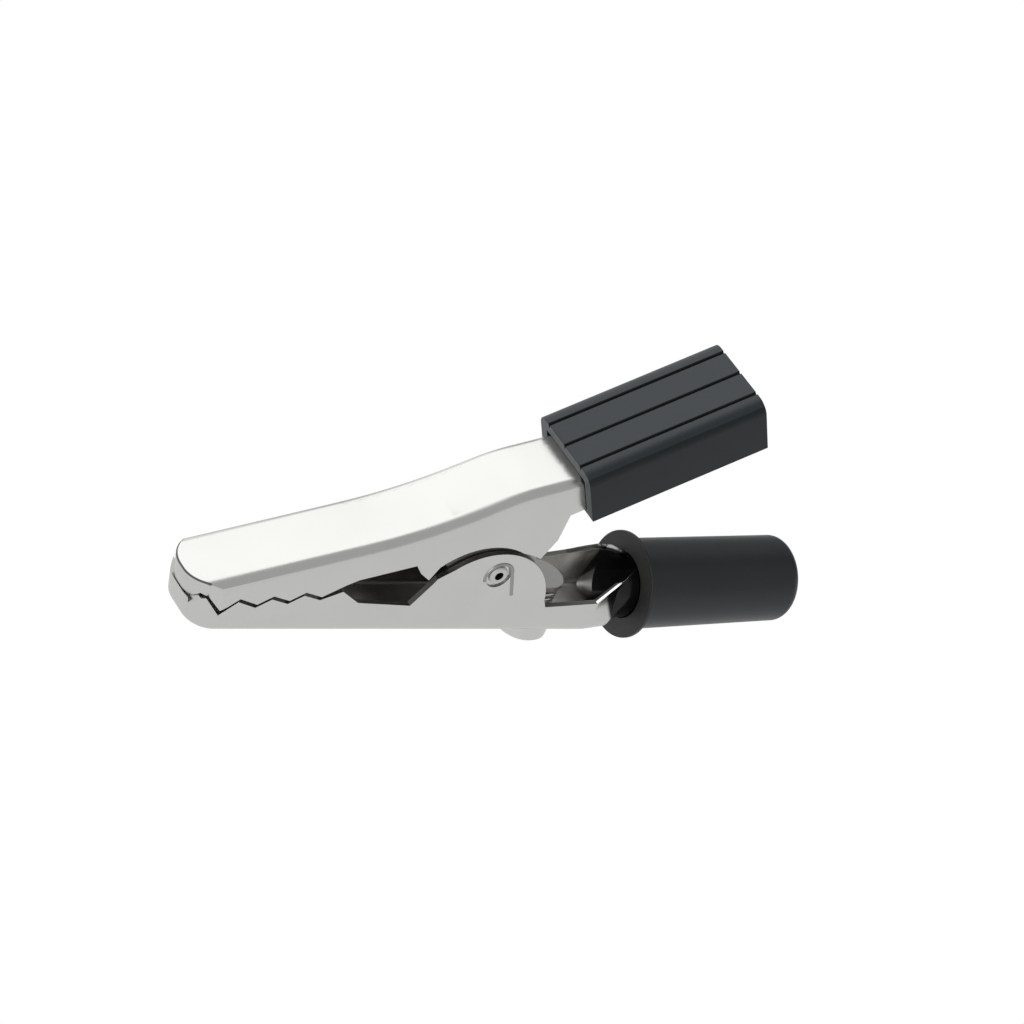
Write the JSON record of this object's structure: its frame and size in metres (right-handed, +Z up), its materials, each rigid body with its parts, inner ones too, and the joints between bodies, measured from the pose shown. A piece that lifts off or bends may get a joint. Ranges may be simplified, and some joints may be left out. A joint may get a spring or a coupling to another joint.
{
  "type": "crocodile clip",
  "caption": "Spring-loaded crocodile test clip in pressed nickel-plated sheet, toothed jaws, black thumb cap and a sleeved round plug socket.",
  "frame": {"origin": "centre of the plug socket's round mouth, where a plug leaves its tube", "axes": "+X runs from the toothed nose to the plug socket, +Y is the pivot's axis, +Z is up, towards the thumb cap"},
  "size_m": [0.0538, 0.008, 0.0239],
  "materials": {
    "nickel_sheet": "satin nickel plate",
    "nickel_rivet": "satin nickel plate",
    "spring_steel": "bright wire",
    "black_cap": "fine satin moulding",
    "black_sleeve": "satin moulding"
  },
  "bodies": {
    "lower_part": {"lower_jaw": "nickel_sheet", "socket_sleeve": "black_sleeve", "pivot_rivet": "nickel_rivet", "spring": "spring_steel"},
    "upper_part": {"upper_jaw": "nickel_sheet", "thumb_cap": "black_cap"}
  },
  "joints": [
    {"name": "jaw_hinge", "type": "hinge", "parent": "lower_part", "child": "upper_part", "pos_m": [-0.02718, 0, 0.0023], "axis": [0, 1, 0], "range_deg": [0, 12], "stiffness_Nm_per_rad": 0.03, "springref_deg": -34.38, "deforming": ["spring"]}
  ]
}
